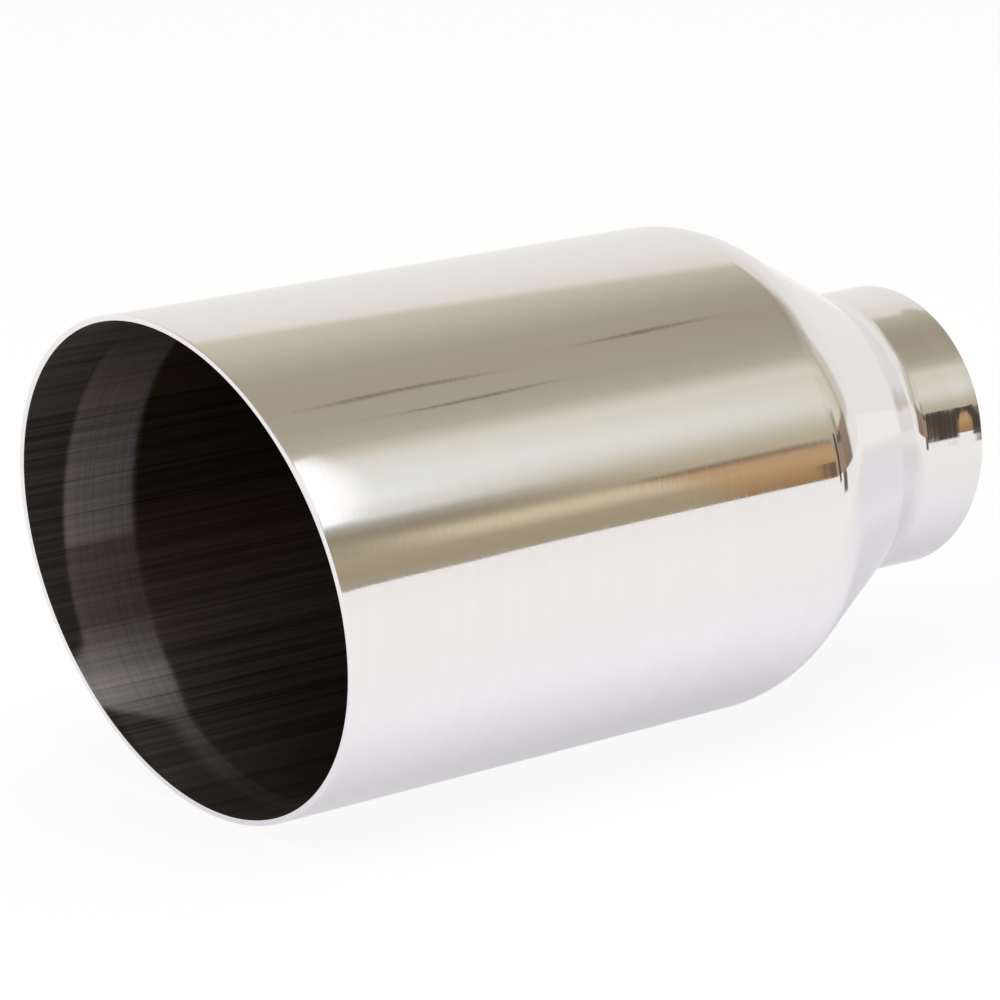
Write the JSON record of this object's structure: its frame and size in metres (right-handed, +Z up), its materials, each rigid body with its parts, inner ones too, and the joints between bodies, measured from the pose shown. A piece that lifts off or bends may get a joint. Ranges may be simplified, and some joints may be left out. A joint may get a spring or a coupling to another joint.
{
  "type": "exhaust tip",
  "caption": "Polished round exhaust tip with a slanted mouth, a wide barrel that narrows over a rounded shoulder and cone, and a short slip-over inlet.",
  "frame": {"origin": "centre of the inlet's open end, on the axis of the tip", "axes": "+X along the axis out of the inlet towards the car, so the mouth faces -X; +Z up, with the longer side of the slanted mouth on top; +Y completes a right-handed frame"},
  "size_m": [0.1978, 0.1016, 0.1016],
  "materials": {
    "tip_steel": "outside polished bright with fine brush lines round the barrel, inside left as drawn and brushed, dark"
  },
  "bodies": {
    "root": {"tip_shell": "tip_steel"}
  },
  "joints": []
}
